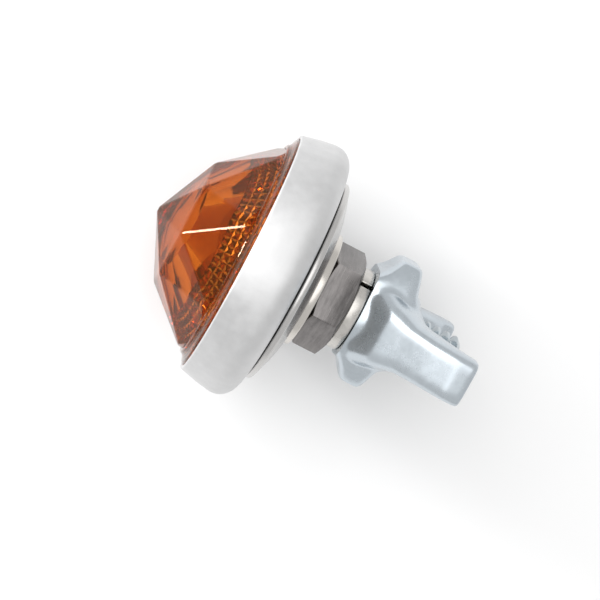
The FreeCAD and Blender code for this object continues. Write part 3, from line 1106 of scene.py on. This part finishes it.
@dataclass
class WingNut:
    """The cast wing nut: hub, two short lobes across X and two wings along Z, blended like a casting."""

    stations: Stations
    turn: float = 9.0
    seat_radius: float = 4.45
    hub_top: float = 3.9
    hub_height: float = 5.3
    bore: float = 2.45
    thick: float = 4.6
    lobe_reach: float = 6.85
    short_lobe_reach: float = 6.3
    lobe_depth: float = 7.0
    wing_round: float = 1.6
    lobe_round: float = 1.7
    voxel: float = 0.15
    blending: int = 36
    shading: float = 27.0

    def build(self) -> bpy.types.Object:
        """Blends the hub and its limbs into one casting, then bores it and faces its seat.

        Returns:
            The wing nut.
        """
        seat = self.stations.wing.front
        nut = Workpiece.turned("cast_wing_nut", [
            (0.0, seat - 1.3),
            (self.seat_radius, seat - 1.3),
            (self.seat_radius + 0.15, seat + 0.4),
            (self.seat_radius + 0.6, seat + 1.4),
            (self.seat_radius + 0.5, seat + 2.6),
            (self.seat_radius, seat + 4.2),
            (self.hub_top, seat + self.hub_height),
            (0.0, seat + self.hub_height),
        ], FINE_SEGMENTS)
        for side in (1, -1):
            nut.combine(self._wing(seat, side), "UNION")
            nut.combine(self._lobe(seat, side), "UNION")
        nut.modify("REMESH", mode="VOXEL", voxel_size=self.voxel * MM)
        nut.modify("SMOOTH", factor=0.5, iterations=self.blending)
        drill = Workpiece.turned("drill", [
            (0.0, seat - 2.0), (self.bore, seat - 2.0), (self.bore, seat + 9.0), (0.0, seat + 9.0),
        ], FINE_SEGMENTS)
        nut.combine(drill, "DIFFERENCE")
        nut.edit_all()
        bpy.ops.mesh.bisect(plane_co=(0, seat * MM, 0), plane_no=(0, -1, 0), use_fill=True, clear_outer=True,
                            threshold=HAIR)
        bpy.ops.object.mode_set(mode="OBJECT")
        nut.spin_about_axis(self.turn)
        nut.smooth(self.shading)
        return nut.finish(ZINC, "wing_nut", ["wing_nut"], "cast_zinc")

    def _limb(self, name: str, round_over: float, sections: Sequence[Section]) -> Workpiece:
        """A limb drawn out from a rounded section, step by step.

        Args:
            name: the limb's name.
            round_over: corner radius of the first section.
            sections: the limb's sections, from the root outward.

        Returns:
            The limb.
        """
        rest_tools()
        last = sections[0]
        bpy.ops.mesh.primitive_plane_add(size=1.0, location=(0, last.station * MM, last.height * MM))
        limb = Workpiece(bpy.context.active_object, name)
        limb.item.scale = (last.thickness * MM, last.width * MM, 1.0)
        bpy.ops.object.transform_apply(location=True, rotation=True, scale=True)
        limb.edit()
        bpy.ops.mesh.select_mode(type="VERT")
        bpy.ops.mesh.select_all(action="SELECT")
        bpy.ops.mesh.bevel(offset=round_over * MM, segments=4, affect="VERTICES")
        for section in sections[1:]:
            bpy.ops.mesh.extrude_region_move(TRANSFORM_OT_translate={
                "value": (0, (section.station - last.station) * MM, (section.height - last.height) * MM)})
            middle = (0, section.station * MM, section.height * MM)
            self._tilt_selection(-last.tilt, middle)
            growth = (section.thickness / last.thickness, section.width / last.width, 1)
            bpy.ops.transform.resize(value=growth, center_override=middle)
            self._tilt_selection(section.tilt, middle)
            last = section
        bpy.ops.mesh.select_all(action="SELECT")
        bpy.ops.mesh.normals_make_consistent(inside=False)
        bpy.ops.object.mode_set(mode="OBJECT")
        return limb

    @staticmethod
    def _tilt_selection(degrees: float, middle: Tuple[float, float, float]) -> None:
        """Turns the selected face about X through its own middle."""
        bpy.ops.transform.rotate(value=-math.radians(degrees), orient_axis="X", center_override=middle)

    def _wing(self, seat: float, side: int) -> Workpiece:
        """One wing, rising from the hub and leaning to the rear.

        Args:
            seat: the station of the nut's seat.
            side: 1 for the wing at +Z, -1 for the one at -Z.

        Returns:
            The wing.
        """
        tip = self.stations.wing.rear
        wing = self._limb("wing", self.wing_round, [
            Section(seat + 2.9, 1.5, 4.8, self.thick + 3.9),
            Section(seat + 2.7, 3.4, 4.9, self.thick + 3.3, -20.0),
            Section(seat + 3.9, 4.7, 4.6, self.thick + 1.8, -42.0),
            Section(seat + 5.6, 5.7, 4.2, self.thick + 0.6, -52.0),
            Section(seat + 7.8, 7.1, 3.9, self.thick + 0.3, -56.0),
            Section(tip - 1.7, 8.2, 3.3, self.thick + 0.2, -75.0),
            Section(tip - 0.06, 8.5, 2.9, self.thick + 0.1, -88.0),
        ])
        if side < 0:
            self._flip(wing)
        return wing

    @staticmethod
    def _flip(limb: Workpiece) -> None:
        """Mirrors a limb to the other side of the axis and turns its faces out again.

        Args:
            limb: the limb to mirror.
        """
        limb.edit_all()
        bpy.ops.transform.resize(value=(1, 1, -1), center_override=ORIGIN)
        bpy.ops.mesh.normals_make_consistent(inside=False)
        bpy.ops.object.mode_set(mode="OBJECT")

    def _lobe(self, seat: float, side: int) -> Workpiece:
        """One short lobe: its front slopes out from the seat and its back sweeps round into the wings.

        Args:
            seat: the station of the nut's seat.
            side: 1 for the lobe at +X, -1 for the one at -X.

        Returns:
            The lobe.
        """
        depth = self.lobe_depth
        reach = self.lobe_reach if side < 0 else self.short_lobe_reach
        lobe = self._limb("lobe", self.lobe_round, [
            Section(seat + 3.0, 1.2, 8.0, depth + 1.6),
            Section(seat + 2.7, 2.3, 7.4, depth + 1.4),
            Section(seat + 2.1, 3.3, 6.2, depth + 1.0),
            Section(seat + 1.95, reach - 2.45, 4.9, depth + 0.4),
            Section(seat + 2.35, reach - 1.45, 3.5, depth - 0.4),
            Section(seat + 2.5, reach - 0.65, 2.8, depth - 1.3),
            Section(seat + 2.58, reach, 2.15, depth - 2.4),
        ])
        lobe.spin_about_axis(side * 90.0)
        return lobe


# --- Carried-over nodes -----------------------------------------------------------------------------------

CARRIED: Dict[str, Finish] = {
    "stud": THREAD,
    "lead_bushing": RUBBER,
    "lens_gasket": RUBBER,
    "back_gasket": RUBBER,
    "sealing_bush": RUBBER,
    "led_board": BOARD_LACQUER_AND_SHADE,
    "led_packages": PACKAGE,
    "led_domes": CLEAR,
    "resistors": CHIP,
    "rectifier_diode": CHIP,
    "solder_posts": SOLDER,
    "insulator_disc": FIBRE,
    "board_spacer": FIBRE,
    "tooth_washer": WASHER,
}


def dress_carried(nodes: Dict[str, bpy.types.Object]) -> None:
    """Gives every CAD node that stays its own finish.

    Args:
        nodes: the frame's nodes by name.
    """
    for name, finish in CARRIED.items():
        item = nodes[name]
        item.data.materials.clear()
        item.data.materials.append(finish.material())
        log.info("%s: carried over, wears %s", name, finish.name)


# --- Studio -----------------------------------------------------------------------------------------------

class SoftLight(NamedTuple):
    """One square light: its place as the camera sees it and its side in mm, and its power in watts."""

    name: str
    place: Tuple[float, float, float]
    side: float
    power: float


@dataclass
class Studio:
    """Pale floor, soft lights and the camera."""

    stations: Stations
    distance: float = 140.0
    lean: float = 6.67
    roll: float = 27.41
    offset: Spot = (-5.78, 4.68)
    focal_share: float = 0.6228
    sensor: float = 36.0
    floor_side: float = 3000.0
    floor_gap: float = 0.1
    surround: float = 0.78
    lights: Tuple[SoftLight, ...] = (
        SoftLight("overhead", (-20.0, 30.0, 230.0), 210.0, 0.17),
        SoftLight("key", (-110.0, 110.0, 150.0), 150.0, 0.145),
        SoftLight("rim", (-212.0, 119.0, 63.0), 40.0, 0.3),
    )

    def build(self) -> None:
        """Sets up everything that isn't the object."""
        self._floor()
        self._lights()
        self._camera()

    def _axes(self) -> Matrix:
        """The frame's X, Y and Z as the camera sees them.

        Returns:
            The rotation, with those three directions in its columns.
        """
        lean = math.radians(self.lean)
        roll = math.radians(self.roll)
        along = Vector((math.cos(lean) * math.cos(roll), -math.cos(lean) * math.sin(roll), -math.sin(lean)))
        towards = Vector((0, 0, 1))
        up = (towards - along * towards.dot(along)).normalized()
        across = along.cross(up)
        return Matrix((across, along, up)).transposed()

    def _camera(self) -> None:
        """A camera above the lamp, looking down on it."""
        turn = self._axes()
        middle = Vector((0, self.stations.cup.front, 0))
        spot = middle + turn.transposed() @ (Vector((0, 0, self.distance)) - Vector((*self.offset, 0)))
        data = bpy.data.cameras.new("camera")
        data.lens = self.focal_share * self.distance
        data.sensor_width = self.sensor
        data.clip_start = 5 * MM
        data.clip_end = 5.0
        camera = bpy.data.objects.new("camera", data)
        camera.matrix_world = Matrix.Translation(spot * MM) @ turn.transposed().to_4x4()
        bpy.context.scene.collection.objects.link(camera)
        bpy.context.scene.camera = camera

    def _floor(self) -> None:
        """A wide pale floor just under the cup."""
        rest_tools()
        height = -(self.stations.cup.radius + self.floor_gap)
        bpy.ops.mesh.primitive_plane_add(size=self.floor_side * MM, location=(0, 0, height * MM))
        floor = bpy.context.active_object
        floor.name = "floor"
        bench = ShaderBench("pale_floor")
        tone = bench.noise(bench.stretched(EVEN), 3.0, detail=2.0)
        bench.set("Base Color", bench.ramp(tone, [(0.3, (0.93, 0.93, 0.93)), (0.7, (0.95, 0.95, 0.95))]))
        bench.set("Roughness", 0.9)
        bench.set("Specular IOR Level", 0.1)
        floor.data.materials.append(bench.material)

    def _lights(self) -> None:
        """A white surround, a wide light overhead, a soft key from the upper left and a small rim light."""
        world = bpy.data.worlds.new("surround")
        world.use_nodes = True
        background = world.node_tree.nodes["Background"]
        background.inputs["Color"].default_value = (*EVEN, 1.0)
        background.inputs["Strength"].default_value = self.surround
        bpy.context.scene.world = world
        turn = self._axes().transposed()
        for light in self.lights:
            data = bpy.data.lights.new(light.name, "AREA")
            data.size = light.side * MM
            data.energy = light.power
            lamp = bpy.data.objects.new(light.name, data)
            spot = turn @ Vector(light.place) * MM
            lamp.matrix_world = Matrix.Translation(spot) @ spot.to_track_quat("Z", "Y").to_matrix().to_4x4()
            bpy.context.scene.collection.objects.link(lamp)


def main() -> None:
    """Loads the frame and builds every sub-assembly."""
    logging.basicConfig(level=logging.INFO, format="%(name)s: %(message)s")
    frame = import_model()
    stations = Stations()
    Studio(stations).build()
    Jewel(stations).build()
    Cup(stations).build()
    Reflector(stations).build()
    BackPlate(stations).build()
    Hardware(stations).build()
    WingNut(stations).build()
    dress_carried(frame["nodes"])
    rest_tools()
    bpy.context.scene.view_settings.view_transform = "Standard"
    log.info("boxes written")


if __name__ == "__main__":
    main()
